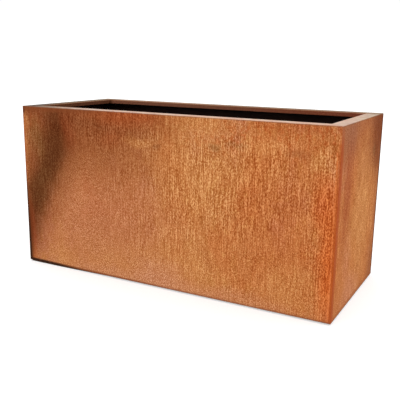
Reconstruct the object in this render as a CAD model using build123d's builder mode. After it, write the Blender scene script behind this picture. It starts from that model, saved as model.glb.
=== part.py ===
"""Rectangular weathering-steel planter: folded walls with a wide rim, welded corners, drained base, tie and feet.

Millimetres. The origin is on the ground under the middle of the planter, +X runs along its length,
+Y towards its back and +Z up.
"""

from build123d import *
import os

# Driving dimensions of the box
LENGTH = 1200.0  # over the two end walls
DEPTH = 520.0  # over the two long walls
HEIGHT = 600.0  # ground to rim
SHEET = 2.0  # thickness of the walls and the base
BEND_INSIDE = 1.5  # inside radius of every press-brake bend
GROUND_GAP = 5.0  # the walls stop this far above the ground
RIM_WIDTH = 50.0  # flat rim, measured over its two bends
RIM_RETURN = 15.0  # height of the rim's turned-down inner edge
CORNER_RADIUS = 1.2  # each corner weld is ground to this radius
RIM_GROOVE = 0.8  # depth and half width of the weld groove along each mitre of the rim

# Base
BASE_TOP = 35.0
BASE_SKIRT = 21.0  # height over the turned-down edges
BASE_FIT = 0.5  # gap between the base and the walls
BASE_NOTCH = 8.0  # corner relief between two turned-down edges
DRAIN_RADIUS = 10.0
DRAIN_PITCH_X = 450.0
DRAIN_PITCH_Y = 150.0
DRAIN_COLUMNS = 2
DRAIN_ROWS = 3

# Bearers under the base
BEARER_PITCH = 450.0
BEARER_HEIGHT = 25.0
BEARER_WIDTH = 44.0  # over the two webs
BEARER_FLANGE = 18.0  # width of each flange beyond its web
BEARER_END_GAP = 1.5  # to the base's turned-down edges

# Feet
FOOT_RADIUS = 20.0
FOOT_EDGE = 1.5
FOOT_PITCH_Y = 400.0
FOOT_RECESS_RADIUS = 7.5
FOOT_RECESS_DEPTH = 5.0
FOOT_SCREW_LENGTH = 14.0

# Ribs on the long walls, and the tie between them
RIB_LEG = 30.0
RIB_THICKNESS = 3.0
RIB_BEND_INSIDE = 3.0
RIB_TOP = 500.0
TIE_WIDTH = 40.0
TIE_THICKNESS = 4.0
TIE_MIDDLE = 330.0  # height of the tie's centre line
TIE_END_GAP = 6.0  # from each end of the tie to the wall
TIE_CORNER = 6.0
TIE_BOLT_PITCH = 20.0
TIE_BOLT_INSET = 18.0  # from the wall's inner face to the bolts
TIE_BOLT_LENGTH = 20.0

# Screws and washers
M6_THREAD = 3.0  # radius
M6_HOLE = 3.3
M6_HEAD_RADIUS = 6.0
M6_HEAD_HEIGHT = 3.6
M6_NUT_FLAT = 5.0  # half the distance across flats
M6_NUT_HEIGHT = 5.0
M8_THREAD = 4.0
M8_HOLE = 4.5
M8_HEX_FLAT = 6.5
M8_HEAD_HEIGHT = 5.3
M8_NUT_HEIGHT = 6.5
M8_WASHER_RADIUS = 8.0
WASHER_THICKNESS = 1.6
THREAD_PLAY = 0.1
HEX_CHAMFER = 0.6

# Stitch welds
WELD_LEG = 2.5
WELD_CROWN = 4.0  # radius of a weld's rounded face
WELD_LENGTH = 40.0
BASE_WELD_PITCH = 240.0
BASE_WELDS_LONG = 5  # along each long wall
BASE_WELDS_SHORT = 2  # along each end wall
RIB_WELD_PITCH = 130.0
RIB_WELDS = 4

# Worked out from the above
BEND_OUTSIDE = BEND_INSIDE + SHEET
WALL_TOP = HEIGHT - BEND_OUTSIDE  # where the wall starts to bend into the rim
RIM_MITRE = 2**0.5 * (RIM_WIDTH - 2 * BEND_OUTSIDE)  # length of the flat part of each mitre
BASE_LENGTH = LENGTH - 2 * (SHEET + BASE_FIT)
BASE_DEPTH = DEPTH - 2 * (SHEET + BASE_FIT)
BASE_UNDERSIDE = BASE_TOP - SHEET
BASE_EDGE = BASE_TOP - BASE_SKIRT
BEARER_BOTTOM = BASE_UNDERSIDE - BEARER_HEIGHT
BEARER_LENGTH = BASE_DEPTH - 2 * (SHEET + BEARER_END_GAP)
INNER_FACE = DEPTH / 2 - SHEET  # from the middle to a long wall's inner face
RIB_HEIGHT = RIB_TOP - BASE_TOP
TIE_BOLT_REACH = INNER_FACE - TIE_BOLT_INSET

LONG_WALLS = {"front": -90, "back": 90}  # heading of each wall's outer face, in degrees
END_WALLS = {"left": 180, "right": 0}
CORNERS = {
    "front_left": (-1, -1),
    "front_right": (1, -1),
    "back_left": (-1, 1),
    "back_right": (1, 1),
}
BEARERS = {"left": -BEARER_PITCH, "centre": 0.0, "right": BEARER_PITCH}
FOOT_ROWS = {"front": -FOOT_PITCH_Y / 2, "back": FOOT_PITCH_Y / 2}
UP = Vector(0, 0, 1)

os.makedirs("parts", exist_ok=True)


def save(piece, name):
    """Labels a finished piece and writes it as a STEP file."""
    piece.part.label = name
    export_step(piece.part, f"parts/{name}.step")


def wall_frame(heading, reach):
    """Plane across a wall, on the ground: x points inwards from that reach, y up, z along the wall."""
    inward = Vector(-1, 0, 0).rotate(Axis.Z, heading)
    return Plane(origin=inward * -reach, x_dir=inward, z_dir=inward.cross(UP))


def corner_frame(corner):
    """Plane across the mitre of the rim, where its flat top starts: y points down, z runs inwards."""
    side_x, side_y = corner
    inward = Vector(-side_x, -side_y, 0)
    return Plane(
        origin=(side_x * (LENGTH / 2 - BEND_OUTSIDE), side_y * (DEPTH / 2 - BEND_OUTSIDE), HEIGHT),
        x_dir=inward.cross(UP),
        z_dir=inward,
    )


def rim_bead(corner):
    """V-shaped weld along one mitre of the rim, ground flush."""
    with BuildPart() as bead:
        with BuildSketch(corner_frame(corner)):
            with BuildLine():
                Polyline((-RIM_GROOVE, 0), (RIM_GROOVE, 0), (0, RIM_GROOVE), close=True)
            make_face()
        extrude(amount=RIM_MITRE)
    return bead


def folded_wall(heading, reach, half_run):
    """One sheet folded into a wall, its rim and turned-down edge, with mitred and weld-prepared ends."""
    frame = wall_frame(heading, reach)
    with BuildPart() as wall:
        with BuildSketch(frame):
            with BuildLine():
                FilletPolyline(
                    (0, GROUND_GAP),
                    (0, HEIGHT),
                    (RIM_WIDTH, HEIGHT),
                    (RIM_WIDTH, HEIGHT - RIM_RETURN),
                    radius=BEND_OUTSIDE,
                )
                offset(amount=SHEET, side=Side.RIGHT)
            make_face()
        extrude(amount=half_run, both=True)
        for end in (-1, 1):
            along = frame.z_dir * end
            mitre = Plane(origin=frame.origin + along * half_run, z_dir=along + frame.x_dir)
            split(bisect_by=mitre, keep=Keep.BOTTOM)
        # Open corner joints: the corner welds fill these notches
        with BuildSketch(Plane.XY.offset(GROUND_GAP)):
            with GridLocations(LENGTH - SHEET, DEPTH - SHEET, 2, 2):
                Rectangle(SHEET, SHEET)
        extrude(amount=WALL_TOP - GROUND_GAP, mode=Mode.SUBTRACT)
        for corner in CORNERS.values():
            add(rim_bead(corner).part, mode=Mode.SUBTRACT)
    return wall


def hexagon(frame, flat, height, hole=0.0):
    """Bolt head or nut standing on a plane, its far corners rounded off, drilled if it is a nut."""
    with BuildPart() as prism:
        with BuildSketch(frame):
            RegularPolygon(radius=flat, side_count=6, major_radius=False)
        extrude(amount=height)
        with BuildSketch(frame):
            Circle(flat + HEX_CHAMFER)
        extrude(amount=height, mode=Mode.INTERSECT)
        if hole:
            with BuildSketch(frame):
                Circle(hole)
            extrude(amount=height, mode=Mode.SUBTRACT)
    return prism.part


def rod(frame, radius, length):
    """Plain shank or thread standing on a plane."""
    with BuildPart() as shank:
        with BuildSketch(frame):
            Circle(radius)
        extrude(amount=length)
    return shank.part


def stitch_welds(seam, leg_a, leg_b, pitch, count):
    """Row of fillet welds spaced about a point on a seam; their legs lie along two directions."""
    frame = Plane(origin=seam, x_dir=leg_a, z_dir=leg_a.cross(leg_b))
    with BuildPart() as row:
        for i in range(count):
            start = (i - (count - 1) / 2) * pitch - WELD_LENGTH / 2
            with BuildSketch(frame.offset(start)):
                with BuildLine():
                    Polyline((0, WELD_LEG), (0, 0), (WELD_LEG, 0))
                    RadiusArc((WELD_LEG, 0), (0, WELD_LEG), -WELD_CROWN)
                make_face()
            extrude(amount=WELD_LENGTH)
    return row.part


# Walls
for name, heading in LONG_WALLS.items():
    save(folded_wall(heading, DEPTH / 2, LENGTH / 2), f"{name}_panel")
for name, heading in END_WALLS.items():
    save(folded_wall(heading, LENGTH / 2, DEPTH / 2), f"{name}_panel")

# Welds up the four corners and along the four mitres of the rim
for name, corner in CORNERS.items():
    side_x, side_y = corner
    with BuildPart() as corner_weld:
        with BuildSketch(Plane.XY.offset(GROUND_GAP)) as section:
            with Locations((side_x * (LENGTH - SHEET) / 2, side_y * (DEPTH - SHEET) / 2)):
                Rectangle(SHEET, SHEET)
            outermost = section.vertices().sort_by(lambda point: side_x * point.X + side_y * point.Y)[-1]
            fillet(outermost, radius=CORNER_RADIUS)
        extrude(amount=WALL_TOP - GROUND_GAP)
    save(corner_weld, f"corner_weld_{name}")
    save(rim_bead(corner), f"rim_weld_{name}")

# Base: one sheet with turned-down edges and drain holes
with BuildPart() as base_tray:
    with BuildSketch(Plane.XY.offset(BASE_EDGE)):
        Rectangle(BASE_LENGTH, BASE_DEPTH)
    extrude(amount=BASE_SKIRT)
    fillet(base_tray.faces().sort_by(Axis.Z)[-1].edges(), radius=BEND_OUTSIDE)
    offset(amount=-SHEET, openings=base_tray.faces().sort_by(Axis.Z)[0])
    with BuildSketch(Plane.XY.offset(BASE_EDGE)):
        with GridLocations(BASE_LENGTH, BASE_DEPTH, 2, 2):
            Rectangle(2 * BASE_NOTCH, 2 * BASE_NOTCH)
        with GridLocations(DRAIN_PITCH_X, DRAIN_PITCH_Y, DRAIN_COLUMNS, DRAIN_ROWS):
            Circle(DRAIN_RADIUS)
    extrude(amount=BASE_SKIRT, mode=Mode.SUBTRACT)
save(base_tray, "base_tray")

# Bearers: folded channels welded across the underside of the base
for name, x in BEARERS.items():
    web = BEARER_WIDTH / 2
    with BuildPart() as bearer:
        with BuildSketch(Plane.XZ):
            with BuildLine():
                FilletPolyline(
                    (x - web - BEARER_FLANGE, BASE_UNDERSIDE - SHEET),
                    (x - web, BASE_UNDERSIDE - SHEET),
                    (x - web, BEARER_BOTTOM),
                    (x + web, BEARER_BOTTOM),
                    (x + web, BASE_UNDERSIDE - SHEET),
                    (x + web + BEARER_FLANGE, BASE_UNDERSIDE - SHEET),
                    radius=BEND_OUTSIDE,
                )
                offset(amount=SHEET, side=Side.LEFT)
            make_face()
        extrude(amount=BEARER_LENGTH / 2, both=True)
        with BuildSketch(Plane.XY.offset(BEARER_BOTTOM)):
            with Locations(*[(x, y) for y in FOOT_ROWS.values()]):
                Circle(M6_HOLE)
        extrude(amount=SHEET, mode=Mode.SUBTRACT)
    save(bearer, f"base_bearer_{name}")

# Feet: a rubber pad under each end of each bearer, its screw's head sunk in a recess
for row, y in FOOT_ROWS.items():
    for name, x in BEARERS.items():
        with BuildPart() as foot:
            with BuildSketch():
                with Locations((x, y)):
                    Circle(FOOT_RADIUS)
            extrude(amount=BEARER_BOTTOM)
            chamfer(foot.edges().filter_by(GeomType.CIRCLE), length=FOOT_EDGE)
            with BuildSketch():
                with Locations((x, y)):
                    Circle(M6_HOLE)
            extrude(amount=BEARER_BOTTOM, mode=Mode.SUBTRACT)
            with BuildSketch():
                with Locations((x, y)):
                    Circle(FOOT_RECESS_RADIUS)
            extrude(amount=FOOT_RECESS_DEPTH, mode=Mode.SUBTRACT)
        save(foot, f"foot_{row}_{name}")

foot_places = [(x, y) for x in BEARERS.values() for y in FOOT_ROWS.values()]

with BuildPart() as foot_screws:
    with BuildSketch(Plane.XY.offset(FOOT_RECESS_DEPTH)):
        with Locations(*foot_places):
            Circle(M6_THREAD)
    extrude(amount=FOOT_SCREW_LENGTH)
    with BuildSketch(Plane.XY.offset(FOOT_RECESS_DEPTH - M6_HEAD_HEIGHT)):
        with Locations(*foot_places):
            Circle(M6_HEAD_RADIUS)
    extrude(amount=M6_HEAD_HEIGHT)
    lowest = foot_screws.edges().group_by(Axis.Z)[0]
    fillet(lowest, radius=M6_HEAD_HEIGHT / 2)
save(foot_screws, "foot_screws")

with BuildPart() as foot_nuts:
    for x, y in foot_places:
        seat = Plane(origin=(x, y, BEARER_BOTTOM + SHEET))
        add(hexagon(seat, M6_NUT_FLAT, M6_NUT_HEIGHT, M6_THREAD + THREAD_PLAY))
save(foot_nuts, "foot_nuts")

# Ribs: a bent angle up the middle of each long wall
for name, heading in LONG_WALLS.items():
    side_y = -1 if name == "front" else 1
    with BuildPart() as rib:
        with BuildSketch(Plane.XY.offset(BASE_TOP)):
            with BuildLine():
                FilletPolyline(
                    (-RIB_LEG, side_y * INNER_FACE),
                    (0, side_y * INNER_FACE),
                    (0, side_y * (INNER_FACE - RIB_LEG)),
                    radius=RIB_BEND_INSIDE + RIB_THICKNESS,
                )
                offset(amount=RIB_THICKNESS, side=Side.RIGHT if side_y > 0 else Side.LEFT)
            make_face()
        extrude(amount=RIB_HEIGHT)
        with BuildSketch(Plane.YZ):
            with Locations((side_y * TIE_BOLT_REACH, TIE_MIDDLE)):
                with GridLocations(TIE_BOLT_PITCH, TIE_BOLT_PITCH, 1, 2):
                    Circle(M8_HOLE)
        extrude(amount=-RIB_THICKNESS, mode=Mode.SUBTRACT)
    save(rib, f"{name}_rib")

# Tie: a flat bar on edge between the two ribs
with BuildPart() as tie_bar:
    with BuildSketch(Plane.YZ):
        with Locations((0, TIE_MIDDLE)):
            RectangleRounded(2 * (INNER_FACE - TIE_END_GAP), TIE_WIDTH, TIE_CORNER)
            with GridLocations(2 * TIE_BOLT_REACH, TIE_BOLT_PITCH, 2, 2):
                Circle(M8_HOLE, mode=Mode.SUBTRACT)
    extrude(amount=TIE_THICKNESS)
save(tie_bar, "tie_bar")

# Bolts, washers and nuts of the tie: heads on the bar's side, nuts on the ribs' side
bolt_places = [
    (side_y * TIE_BOLT_REACH, TIE_MIDDLE + up * TIE_BOLT_PITCH / 2)
    for side_y in (-1, 1)
    for up in (-1, 1)
]
head_seat = TIE_THICKNESS + WASHER_THICKNESS
nut_seat = RIB_THICKNESS + WASHER_THICKNESS

with BuildPart() as tie_bolts:
    for y, z in bolt_places:
        add(hexagon(Plane(origin=(head_seat, y, z), z_dir=(1, 0, 0)), M8_HEX_FLAT, M8_HEAD_HEIGHT))
        add(rod(Plane(origin=(head_seat, y, z), z_dir=(-1, 0, 0)), M8_THREAD, TIE_BOLT_LENGTH))
save(tie_bolts, "tie_bolts")

with BuildPart() as tie_nuts:
    for y, z in bolt_places:
        seat = Plane(origin=(-nut_seat, y, z), z_dir=(-1, 0, 0))
        add(hexagon(seat, M8_HEX_FLAT, M8_NUT_HEIGHT, M8_THREAD + THREAD_PLAY))
save(tie_nuts, "tie_nuts")

with BuildPart() as tie_washers:
    for seat in (TIE_THICKNESS, -nut_seat):
        with BuildSketch(Plane.YZ.offset(seat)):
            with Locations(*bolt_places):
                Circle(M8_WASHER_RADIUS)
                Circle(M8_HOLE, mode=Mode.SUBTRACT)
        extrude(amount=WASHER_THICKNESS)
save(tie_washers, "tie_washers")

# Stitch welds: between the walls and the base's edges, and beside the ribs
base_seams = [
    (LONG_WALLS["front"], INNER_FACE, BASE_WELDS_LONG),
    (LONG_WALLS["back"], INNER_FACE, BASE_WELDS_LONG),
    (END_WALLS["left"], LENGTH / 2 - SHEET, BASE_WELDS_SHORT),
    (END_WALLS["right"], LENGTH / 2 - SHEET, BASE_WELDS_SHORT),
]
with BuildPart() as base_welds:
    for heading, reach, count in base_seams:
        frame = wall_frame(heading, reach)
        seam = frame.origin + UP * BASE_EDGE
        add(stitch_welds(seam, frame.x_dir, -UP, BASE_WELD_PITCH, count))
save(base_welds, "base_welds")

with BuildPart() as rib_welds:
    for side_y in (-1, 1):
        seam = Vector(-RIB_LEG, side_y * INNER_FACE, (BASE_TOP + RIB_TOP) / 2)
        add(stitch_welds(seam, Vector(-1, 0, 0), Vector(0, -side_y, 0), RIB_WELD_PITCH, RIB_WELDS))
save(rib_welds, "rib_welds")
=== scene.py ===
"""Looks of a weathering-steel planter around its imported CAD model. Metres, in the CAD's frame."""

import math
import random
from typing import NamedTuple

import bmesh
import bpy
from mathutils import Matrix, Vector, noise


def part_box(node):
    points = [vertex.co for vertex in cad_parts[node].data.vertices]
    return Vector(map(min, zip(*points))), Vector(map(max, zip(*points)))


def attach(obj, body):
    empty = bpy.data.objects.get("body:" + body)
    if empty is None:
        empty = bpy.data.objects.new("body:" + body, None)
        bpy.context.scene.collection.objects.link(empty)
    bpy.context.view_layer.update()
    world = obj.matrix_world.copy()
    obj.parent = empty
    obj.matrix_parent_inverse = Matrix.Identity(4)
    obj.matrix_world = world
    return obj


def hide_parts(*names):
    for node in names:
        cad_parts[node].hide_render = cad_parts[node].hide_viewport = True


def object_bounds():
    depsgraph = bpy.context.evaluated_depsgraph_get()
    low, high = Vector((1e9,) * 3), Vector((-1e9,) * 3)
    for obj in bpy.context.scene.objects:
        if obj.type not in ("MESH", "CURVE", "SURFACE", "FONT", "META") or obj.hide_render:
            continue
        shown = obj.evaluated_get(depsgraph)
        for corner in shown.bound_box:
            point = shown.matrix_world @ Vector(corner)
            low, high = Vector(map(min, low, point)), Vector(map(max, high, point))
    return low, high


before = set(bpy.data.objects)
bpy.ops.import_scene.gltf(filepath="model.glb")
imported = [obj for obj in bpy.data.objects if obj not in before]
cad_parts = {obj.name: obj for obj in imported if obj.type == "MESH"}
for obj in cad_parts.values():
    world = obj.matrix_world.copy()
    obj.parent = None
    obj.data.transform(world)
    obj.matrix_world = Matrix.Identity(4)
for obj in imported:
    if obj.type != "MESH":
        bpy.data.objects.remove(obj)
cad_low, cad_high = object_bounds()

# Sizes read from the frame
HALF_LENGTH = cad_high.x
HALF_DEPTH = cad_high.y
TOP = cad_high.z
WALL_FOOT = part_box("front_panel")[0].z
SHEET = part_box("corner_weld_front_left")[1].x + HALF_LENGTH
RIM_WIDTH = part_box("front_panel")[1].y + HALF_DEPTH

# Camera: place in metres, angles in degrees, lens in millimetres on a 36 mm sensor
CAMERA_PLACE = (1.048, -1.936, 0.779)
CAMERA_YAW = 28.19
CAMERA_PITCH = -13.17
CAMERA_ROLL = 0.79
CAMERA_LENS = 54.51

# Light: brightness of the studio at the horizon and overhead
LIGHT_HORIZON = 1.02
LIGHT_OVERHEAD = 1.55
FLOOR_GLOW = 0.45
FLOOR_PAINT = (0.65, 0.65, 0.65, 1.0)
# Painted shadow on the floor under the planter
FLOOR_SHADOW = (0.30, 0.17, 0.10, 1.0)
FLOOR_EDGE = 0.004  # over which the floor darkens into painted shadow under the planter
GLOW_REACH = 0.011  # how far under the planter's right part the floor glows
GLOW_GROWS = (-0.52, -0.10)  # X over which that reach grows from 0

# Sizes of the welds and fasteners that the frame's boxes don't give
CORNER_GRIND = 0.0012  # radius that each corner weld is ground to
CORNER_STEP = 0.0016  # between two sections of a ground bead
CORNER_WEAR = 0.00022  # deepest hollow that the grinding leaves
CORNER_RIPPLE = 0.0042  # from one mark of the grinding disc to the next
RIM_STEP = 0.0008
RIM_WEAR = 0.00007
SCALE_PITCH = 0.0024  # length of one scale of a stitch weld
SCALE_DEPTH = 0.16  # height of a scale's step, as a share of the bead
BEAD_CROWN = 0.20  # bulge of a stitch weld's face, as a share of its leg
BEAD_STEPS = 5  # sections of each scale
M8_THREAD = (0.004, 0.00125, 0.00072)  # radius, pitch and depth
M6_THREAD = (0.003, 0.001, 0.00058)
THREAD_STEPS = 6  # rings in each turn of a thread
HEX_FACE = 0.94  # round end of a hexagon, as a share of its width
SCREW_HEAD_HEIGHT = 0.0036
SCREW_CROWN_HEIGHT = 0.0029  # of the rounded part of the head
SOCKET_FLAT = 0.002  # half the distance across the screw's socket
SOCKET_DEPTH = 0.0021
WASHER_EDGE = 0.00025
FOOT_BORE = 0.0033
FOOT_RECESS = (0.0075, 0.005)  # radius and depth
FOOT_ROUND = 0.0015
FOOT_RIDGES = 24
FOOT_RIDGE_DEPTH = 0.0004
FOOT_GROOVES = (0.0102, 0.0132, 0.0162)  # radii of the grooves under the foot
FOOT_GROOVE = (0.0012, 0.0008)  # width and depth of each
EDGE_ROUNDING = 0.0003  # of the edges of punched and sheared sheet

# How the rust is drawn: lengths in metres, scales in repeats per metre
STAIN_DEPTH = 0.06  # of a stain through the wall, so that it stays on its own wall
RAGGED_REACH = 0.07  # how far noise pushes the edges of stains
RAGGED_SCALE = 9.0
SOFT_CORE = 0.15  # share of a stain's half size that is at full strength
WASHED_CORE = 0.35
CRISP_CORE = 0.5
WASHED_LEAST = 0.12  # share of upright grain where no water runs
SPECKLE_SCALE = 330.0
FLECK_SCALE = (330.0, 330.0, 160.0)
THREAD_SCALE = (270.0, 270.0, 16.0)
PITTING_SCALE = 1100.0
GRAIN_RELIEF = 0.0008
GRAIN_DARK = (0.60, 0.42, 0.25, 1.0)  # what the grain multiplies a colour by
GRAIN_LIGHT = (1.46, 1.90, 2.5, 1.0)


def colour(red, green, blue):
    """Linear RGBA of an sRGB colour given in 0 to 255."""
    def linear(value):
        value = value / 255
        return value / 12.92 if value <= 0.04045 else ((value + 0.055) / 1.055) ** 2.4

    return linear(red), linear(green), linear(blue), 1.0


# Rust of the walls and the painted shade on them, roughly from light to dark
STRAW = colour(190, 127, 72)
DUST = colour(188, 126, 90)
EDGE_LIGHT = colour(200, 112, 60)
OCHRE_TAN = colour(178, 116, 58)
TAN = colour(177, 110, 62)
PINK_BROWN = colour(172, 105, 69)
BURNT_ORANGE = colour(173, 92, 44)
EDGE_RED = colour(184, 84, 30)
FRESH_RED = colour(168, 80, 34)
MAUVE = colour(144, 88, 58)
# Painted shade at the foot of the wall
FOOT_SHADE = colour(132, 84, 58)
SHADE = colour(144, 82, 44)
TOP_RUST = colour(150, 74, 36)
OLIVE = colour(118, 78, 40)
RED_BROWN = colour(142, 58, 26)
UMBER = colour(118, 61, 31)
END_BROWN = colour(116, 56, 22)
LIP_BROWN = colour(112, 56, 28)
DARK_OLIVE = colour(82, 46, 18)
DARK_UMBER = colour(82, 38, 14)
# Darkest brown: painted shade and shadow, and dark edge lines
BLACK_BROWN = colour(52, 30, 18)

# Welds and the sheet dressed with them
WELD_BROWN = colour(154, 70, 28)
WELD_RED = colour(152, 66, 24)

# Rim, its bends and its turned-down edge: the pale rim tones are partly painted sheen, the dark rim tones
# painted shade, and the bend and turned-down tones partly painted shade
RIM_CHALK = colour(200, 172, 146)
RIM_PALE = colour(188, 152, 121)
RIM_BEIGE = colour(166, 143, 108)
RIM_OLIVE = colour(158, 136, 86)
RIM_DARK = colour(96, 77, 54)
RIM_BLACK = colour(58, 42, 32)
BEND_BROWN = colour(120, 84, 64)
RETURN_BROWN = colour(120, 76, 60)
RETURN_RED = colour(126, 64, 46)
RETURN_SHADE = colour(66, 36, 24)

# Coating, zinc and rubber
COATING = colour(34, 18, 14)
COATING_WORN = colour(44, 26, 20)
ZINC = colour(168, 170, 174)
ZINC_BLOOM = colour(196, 196, 190)
RUBBER = colour(24, 24, 25)
RUBBER_DUST = colour(84, 80, 74)

# Corners of the planter, and the rust of their welds
CORNERS = {"front_left": (-1, -1), "front_right": (1, -1), "back_left": (-1, 1), "back_right": (1, 1)}
CORNER_TINTS = {  # two that mix in blotches, one near the rim and one near the ground
    # At the front left, the tints near the rim and near the ground are painted shade
    "front_left": (TOP_RUST, UMBER, RIM_BLACK, BLACK_BROWN),
    "front_right": (RED_BROWN, WELD_BROWN, MAUVE, WELD_BROWN),
    "back_left": (UMBER, DARK_UMBER, UMBER, DARK_UMBER),
    "back_right": (BLACK_BROWN, UMBER, UMBER, SHADE),
}
LOW_TINT_FADE = (0.40, 0.26)  # heights between which the one near the ground comes on
RIM_TINTS = {  # two that mix in blotches
    # Dark tints are painted shade and pale ones partly painted sheen, like the rim around them
    "front_left": (RIM_BLACK, RIM_DARK),
    "front_right": (RIM_PALE, RIM_BEIGE),
    "back_left": (RIM_DARK, SHADE),
    "back_right": (RIM_BEIGE, SHADE),
}


def set_range(node, *limits):
    """Sets what a map range node maps from and to, each low and high."""
    for name, limit in zip(("From Min", "From Max", "To Min", "To Max"), limits):
        node.inputs[name].default_value = limit


class Shader:
    """One node material under construction: most methods add a node and return its output socket."""

    def __init__(self, name, specular=0.5):
        self.material = bpy.data.materials.new(name)
        self.material.use_nodes = True
        self.tree = self.material.node_tree
        self.surface = self.tree.nodes["Principled BSDF"]
        self.surface.inputs["Specular IOR Level"].default_value = specular
        self.place = self.tree.nodes.new("ShaderNodeTexCoord").outputs["Object"]

    def put(self, socket, value):
        """Joins a socket to another, or sets its own value."""
        if isinstance(value, bpy.types.NodeSocket):
            self.tree.links.new(value, socket)
        elif isinstance(socket.default_value, float):
            socket.default_value = value
        else:
            socket.default_value = tuple(value)[: len(socket.default_value)]

    def output(self, name, value):
        """Feeds one input of the surface."""
        self.put(self.surface.inputs[name], value)

    def math(self, operation, first, second=0.0, third=0.0):
        node = self.tree.nodes.new("ShaderNodeMath")
        node.operation = operation
        for socket, value in zip(node.inputs, (first, second, third)):
            self.put(socket, value)
        return node.outputs[0]

    def scaled(self, value, factor, added):
        return self.math("MULTIPLY_ADD", value, factor, added)

    def product(self, first, *factors):
        for factor in factors:
            first = self.math("MULTIPLY", first, factor)
        return first

    def vector(self, operation, first, second=(0, 0, 0)):
        node = self.tree.nodes.new("ShaderNodeVectorMath")
        node.operation = operation
        self.put(node.inputs[0], first)
        self.put(node.inputs[1], second)
        return node.outputs["Value" if operation == "LENGTH" else "Vector"]

    def axes(self, vector):
        node = self.tree.nodes.new("ShaderNodeSeparateXYZ")
        self.put(node.inputs[0], vector)
        return node.outputs

    def facing_up(self):
        """1 where the surface faces up, 0 where it is upright."""
        geometry = self.tree.nodes.new("ShaderNodeNewGeometry")
        return self.axes(geometry.outputs["Normal"])[2]

    def noise(self, scale, detail=3.0, roughness=0.5, distortion=0.0, output=0):
        """Fractal noise of about 0 to 1, in repeats per metre; a scale for each axis stretches it."""
        node = self.tree.nodes.new("ShaderNodeTexNoise")
        place = self.place
        if isinstance(scale, tuple):
            place, scale = self.vector("MULTIPLY", place, scale), 1.0
        self.put(node.inputs["Vector"], place)
        node.inputs["Scale"].default_value = scale
        node.inputs["Detail"].default_value = detail
        node.inputs["Roughness"].default_value = roughness
        node.inputs["Distortion"].default_value = distortion
        return node.outputs[output]

    def span(self, value, low, high, to_low=0.0, to_high=1.0):
        """Maps low..high smoothly to to_low..to_high, clamped."""
        node = self.tree.nodes.new("ShaderNodeMapRange")
        node.interpolation_type = "SMOOTHSTEP"
        set_range(node, low, high, to_low, to_high)
        self.put(node.inputs["Value"], value)
        return node.outputs["Result"]

    def mix(self, share, first, second, blend="MIX"):
        """Mixes two colours by a share of 0 to 1."""
        node = self.tree.nodes.new("ShaderNodeMix")
        node.data_type = "RGBA"
        node.blend_type = blend
        self.put(node.inputs[0], share)
        self.put(node.inputs[6], first)
        self.put(node.inputs[7], second)
        return node.outputs[2]

    def patch(self, vector, centre, size, core, tilt=(0, 0, 0)):
        """1 in the core of an ellipsoid, fading smoothly to 0 at its surface; tilt in degrees."""
        node = self.tree.nodes.new("ShaderNodeMapping")
        node.vector_type = "TEXTURE"
        self.put(node.inputs["Vector"], vector)
        node.inputs["Location"].default_value = centre
        node.inputs["Rotation"].default_value = [math.radians(angle) for angle in tilt]
        node.inputs["Scale"].default_value = size
        return self.span(self.vector("LENGTH", node.outputs[0]), core, 1.0, 1.0, 0.0)

    def finished(self, tone, roughness, relief, depth):
        """The material, with its colour, its roughness and a relief that is depth metres high."""
        self.output("Base Color", tone)
        self.output("Roughness", roughness)
        bump = self.tree.nodes.new("ShaderNodeBump")
        bump.inputs["Distance"].default_value = depth
        self.put(bump.inputs["Height"], relief)
        self.output("Normal", bump.outputs["Normal"])
        return self.material


class Stain(NamedTuple):
    """Soft-edged patch on a wall: centre along the wall and above the ground, half sizes, lean in degrees."""

    tint: tuple
    strength: float
    along: float
    up: float
    half_width: float
    half_height: float
    lean: float = 0.0


class Washed(NamedTuple):
    """Area that water runs down, which leaves an upright grain."""

    strength: float
    along: float
    up: float
    half_width: float
    half_height: float
    lean: float = 0.0


class Dressing(NamedTuple):
    """Band beside a corner, dressed smooth with the weld, and the light line where the dressing ends."""

    width: float
    tint: tuple
    strength: float
    line_strength: float


class Wall(NamedTuple):
    """What one wall's rust looks like."""

    faces: tuple  # outwards in X and Y, -1, 0 or 1 each
    stains: list
    crisp: list  # stains with clean outlines, along the wall's edges; many are painted shade
    washed: list
    low_end: Dressing  # beside the corner at the wall's lower X or Y
    high_end: Dressing


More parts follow.
